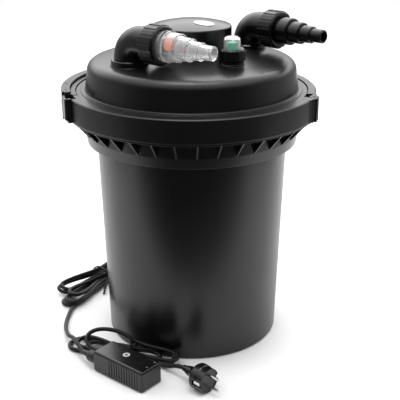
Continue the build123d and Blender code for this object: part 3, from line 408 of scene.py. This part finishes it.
def clear(name, tint, roughness, ior, scratches=0.05, milk=0.0):
    """Clear moulding: faint flow lines, hairline scratches and milky haze; lamps shine through it."""
    f = Finish(name)
    haze = f.noise(45.0, 4.0, 0.6)
    f.link(f.mix(f.spread(haze, 0.0, 1.0), tint, tuple(min(1.0, c * 1.04) for c in tint)),
           f.shader.inputs["Base Color"])
    f.link(f.spread(f.noise(220.0, 4.0, 0.7), roughness * 0.5, roughness * 2.0), f.shader.inputs["Roughness"])
    f.link(f.bump(f.noise(70.0, 3.0, 0.5, (1.0, 1.0, 2.5)), scratches, 0.0008), f.shader.inputs["Normal"])
    f.set(Transmission_Weight=1.0 - milk, IOR=ior)
    through = f.node("ShaderNodeBsdfTransparent")
    through.inputs["Color"].default_value = (*tint, 1.0)
    lamp_path = f.node("ShaderNodeLightPath").outputs["Is Shadow Ray"]
    both = f.node("ShaderNodeMixShader")
    f.link(lamp_path, both.inputs[0])
    f.link(f.shader.outputs[0], both.inputs[1])
    f.link(through.outputs[0], both.inputs[2])
    f.link(both.outputs[0], f.output.inputs["Surface"])
    return f


def metal(name, colour, roughness, brushed):
    """Plated or brushed metal with fine drawn lines and dull edges."""
    f = Finish(name)
    soft, near = f.edges(0.0004)
    lines = f.noise(300.0, 4.0, 0.7, (1.0, 1.0, brushed))
    f.link(f.mix(f.spread(lines, 0.0, 1.0), tuple(c * 0.8 for c in colour), colour), f.shader.inputs["Base Color"])
    worn = f.spread(lines, roughness - 0.05, roughness + 0.1)
    f.link(f.math("ADD", worn, f.math("MULTIPLY", near, 0.15)), f.shader.inputs["Roughness"])
    f.link(f.bump(lines, 0.12, 0.00008, soft), f.shader.inputs["Normal"])
    f.set(Metallic=1.0)
    return f


def open_cell(name, colour, cell):
    """Reticulated foam: open cells, with painted shade darkening their pores."""
    f = Finish(name)
    cells = f.node("ShaderNodeTexVoronoi", feature="DISTANCE_TO_EDGE")
    cells.inputs["Scale"].default_value = cell
    f.link(f.place, cells.inputs["Vector"])
    pore_depth_and_shade = f.spread(cells.outputs["Distance"], 0.0, 1.0, 0.04, 0.3)
    # painted shade: the middles of the cells are darkened to stand in for the shade inside the open pores; the same
    # mask sets the bump depth
    f.link(f.mix(pore_depth_and_shade, tuple(min(1.0, c * 1.25) for c in colour), tuple(c * 0.22 for c in colour)),
           f.shader.inputs["Base Color"])
    f.link(f.spread(f.noise(80.0), 0.85, 1.0), f.shader.inputs["Roughness"])
    f.link(f.bump(f.math("SUBTRACT", 1.0, pore_depth_and_shade), 0.7, 0.0012), f.shader.inputs["Normal"])
    return f


def badge_finish():
    """White printed label with a plain grey disc in its middle and a thin rim."""
    f = Finish("badge")
    low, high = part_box("ballast_badge")
    middle = [(a + b) / 2 for a, b in zip(low, high)]
    shifted = f.node("ShaderNodeVectorMath", operation="SUBTRACT")
    shifted.inputs[1].default_value = (middle[0], middle[1], middle[2])
    f.link(f.place, shifted.inputs[0])
    length = f.node("ShaderNodeVectorMath", operation="LENGTH")
    f.link(shifted.outputs[0], length.inputs[0])
    radius = (high[0] - low[0]) / 2
    disc = f.spread(length.outputs["Value"], 1.0, 0.0, radius * 0.62, radius * 0.70)
    rim = f.spread(length.outputs["Value"], 0.0, 1.0, radius * 0.86, radius * 0.92)
    white = f.mix(f.spread(f.noise(400.0), 0.0, 1.0), (0.74, 0.76, 0.78), (0.84, 0.85, 0.86))
    printed = f.mix(disc, white, (0.16, 0.18, 0.22))
    f.link(f.mix(rim, printed, (0.45, 0.47, 0.5)), f.shader.inputs["Base Color"])
    f.link(f.spread(f.noise(200.0), 0.28, 0.42), f.shader.inputs["Roughness"])
    f.link(f.bump(f.noise(900.0), 0.1, 0.0001), f.shader.inputs["Normal"])
    return f


FINISHES = {
    "drum_plastic": moulded("drum_plastic", (0.0042, 0.0042, 0.0047), 0.3, grain=0.06, edge=0.0014),
    "clamp_plastic": moulded("clamp_plastic", (0.0048, 0.0048, 0.0053), 0.32, grain=0.07, edge=0.0009),
    "fitting_plastic": moulded("fitting_plastic", (0.0032, 0.0032, 0.0036), 0.22, grain=0.03, edge=0.0007),
    "clear_plastic": clear("clear_plastic", (0.94, 0.94, 0.945), 0.07, 1.49, 0.12, 0.1),
    "quartz": clear("quartz", (0.96, 0.97, 0.98), 0.01, 1.46, 0.01),
    "seal_rubber": rubber("seal_rubber", (0.004, 0.004, 0.0045), 0.42),
    "orange_flap": moulded("orange_flap", (0.82, 0.17, 0.035), 0.35, grain=0.04, edge=0.0004, mottle=0.08),
    "green_float": moulded("green_float", (0.008, 0.36, 0.2), 0.3, grain=0.03, edge=0.0005, mottle=0.08),
    "white_window": moulded("white_window", (0.5, 0.51, 0.52), 0.3, grain=0.02, edge=0.0006, mottle=0.05),
    "bright_metal": metal("bright_metal", (0.78, 0.78, 0.8), 0.16, 1.0),
    "steel": metal("steel", (0.55, 0.55, 0.57), 0.3, 6.0),
    "lamp_glass": clear("lamp_glass", (0.92, 0.93, 0.95), 0.03, 1.5, 0.02),
    "lamp_base": moulded("lamp_base", (0.72, 0.72, 0.69), 0.4, grain=0.05, mottle=0.06),
    "media_plastic": moulded("media_plastic", (0.03, 0.045, 0.09), 0.42, grain=0.08),
    "coarse_foam": open_cell("coarse_foam", (0.02, 0.12, 0.32), 260.0),
    "fine_foam": open_cell("fine_foam", (0.32, 0.05, 0.03), 420.0),
    "cord_rubber": rubber("cord_rubber", (0.0038, 0.0038, 0.0043), 0.42, 0.28),
    "box_plastic": moulded("box_plastic", (0.0036, 0.0036, 0.004), 0.24, grain=0.045, edge=0.0007),
}
for node in nodes.values():
    for place in node.material_slots:
        place.material = FINISHES[place.material.name.split(".")[0]].material
nodes["ballast_badge"].material_slots[0].material = badge_finish().material
for piece in (lamp_lead, mains_lead, lamp_tie, mains_tie):
    piece.data.materials.clear()
    piece.data.materials.append(FINISHES["cord_rubber"].material)


# ---------------------------------------------------------------- foam discs
def foam_disc(node_name, amplitude, seed):
    """Disc of open-cell foam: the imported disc's outline, remeshed, softened and slightly uneven."""
    source = nodes[node_name]
    piece = bpy.data.objects.new(node_name + "_block", source.data.copy())
    scene.collection.objects.link(piece)
    remesh = piece.modifiers.new("remesh", "REMESH")
    remesh.mode = "VOXEL"
    remesh.voxel_size = 0.0045
    smooth = piece.modifiers.new("smooth", "SMOOTH")
    smooth.iterations = 3
    shape = piece.evaluated_get(bpy.context.evaluated_depsgraph_get())
    piece.data = bpy.data.meshes.new_from_object(shape)
    piece.modifiers.clear()
    for vertex in piece.data.vertices:
        lump = noise.noise(vertex.co * 90 + Vector((seed, 0, 0)))
        pit = noise.noise(vertex.co * 420 + Vector((0, seed, 0)))
        vertex.co += vertex.normal * (amplitude * (lump - 0.6) + 0.0004 * pit)
    for polygon in piece.data.polygons:
        polygon.use_smooth = True
    piece.data.materials.clear()
    piece.data.materials.append(FINISHES[node_name].material)
    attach(piece, "root")
    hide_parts(node_name)
    return piece


foam_disc("coarse_foam", 0.0007, 3.0)
foam_disc("fine_foam", 0.0005, 11.0)


# ---------------------------------------------------------------- floor, light and world
FLOOR_SIDE, FLOOR_FRONT, FLOOR_BACK = 0.95, -0.37, 6.0
SIDE_LIGHT, BACK_LIGHT, TOP_LIGHT, FRONT_LIGHT = 0.38, 2.1, 1.3, 0.06


def studio_floor():
    """Pale floor, short in front of the object: the dim room ahead is what the drum's middle reflects."""
    mesh = bpy.data.meshes.new("studio_floor")
    shape = bmesh.new()
    corners = [shape.verts.new((x, y, 0.0)) for x, y in (
        (-FLOOR_SIDE, FLOOR_FRONT), (FLOOR_SIDE, FLOOR_FRONT), (FLOOR_SIDE, FLOOR_BACK), (-FLOOR_SIDE, FLOOR_BACK))]
    shape.faces.new(corners)
    shape.to_mesh(mesh)
    shape.free()
    floor = bpy.data.objects.new("studio_floor", mesh)
    scene.collection.objects.link(floor)
    finish = bpy.data.materials.new("studio_floor")
    finish.use_nodes = True
    shader = finish.node_tree.nodes["Principled BSDF"]
    shader.inputs["Base Color"].default_value = (0.9, 0.9, 0.9, 1.0)
    shader.inputs["Roughness"].default_value = 0.7
    shader.inputs["Specular IOR Level"].default_value = 0.2
    mesh.materials.append(finish)


def soft_box(name, place, aim, size, power):
    """Rectangular soft light that points at aim and isn't itself seen."""
    light = bpy.data.lights.new(name, "AREA")
    light.shape = "RECTANGLE"
    light.size, light.size_y = size
    light.energy = power
    made = bpy.data.objects.new(name, light)
    made.location = place
    made.rotation_euler = (Vector(aim) - Vector(place)).to_track_quat("-Z", "Y").to_euler()
    made.visible_camera = False
    scene.collection.objects.link(made)
    return made


def studio_world():
    """White room: bright behind and overhead, dim in front, and plain white where it is seen directly."""
    world = bpy.data.worlds.new("studio")
    world.use_nodes = True
    tree = world.node_tree
    background = tree.nodes["Background"]

    def node(kind, **settings):
        made = tree.nodes.new(kind)
        for key, value in settings.items():
            setattr(made, key, value)
        return made

    def ramp(value, from_low, from_high, to_low, to_high):
        ranged = node("ShaderNodeMapRange", interpolation_type="SMOOTHSTEP")
        for key, number in (("From Min", from_low), ("From Max", from_high), ("To Min", to_low), ("To Max", to_high)):
            ranged.inputs[key].default_value = number
        tree.links.new(value, ranged.inputs["Value"])
        return ranged.outputs["Result"]

    def combine(operation, first, second):
        made = node("ShaderNodeMath", operation=operation)
        for socket, value in zip(made.inputs, (first, second)):
            if isinstance(value, (int, float)):
                socket.default_value = value
            else:
                tree.links.new(value, socket)
        return made.outputs["Value"]

    axes = node("ShaderNodeSeparateXYZ")
    tree.links.new(node("ShaderNodeTexCoord").outputs["Generated"], axes.inputs["Vector"])
    beside = ramp(axes.outputs["Y"], -0.75, 0.1, 0.0, SIDE_LIGHT)
    behind = combine("MULTIPLY", ramp(axes.outputs["Y"], 0.1, 0.85, 0.0, BACK_LIGHT),
                     ramp(axes.outputs["Z"], 0.08, 0.36, 0.0, 1.0))
    above = ramp(axes.outputs["Z"], 0.3, 0.85, 0.0, TOP_LIGHT)
    room = combine("ADD", combine("ADD", behind, above), combine("ADD", beside, FRONT_LIGHT))
    seen = node("ShaderNodeLightPath").outputs["Is Camera Ray"]
    unseen = combine("MULTIPLY", combine("SUBTRACT", 1.0, seen), room)
    tree.links.new(combine("ADD", seen, unseen), background.inputs["Strength"])
    background.inputs["Color"].default_value = (1.0, 1.0, 1.0, 1.0)
    scene.world = world


studio_floor()
studio_world()
soft_box("top_box", (0.0, -0.25, 1.6), (0.0, 0.0, 0.3), (0.7, 0.25), 6.0)
scene.view_settings.view_transform = "Standard"

# ---------------------------------------------------------------- scene update
bpy.context.view_layer.update()
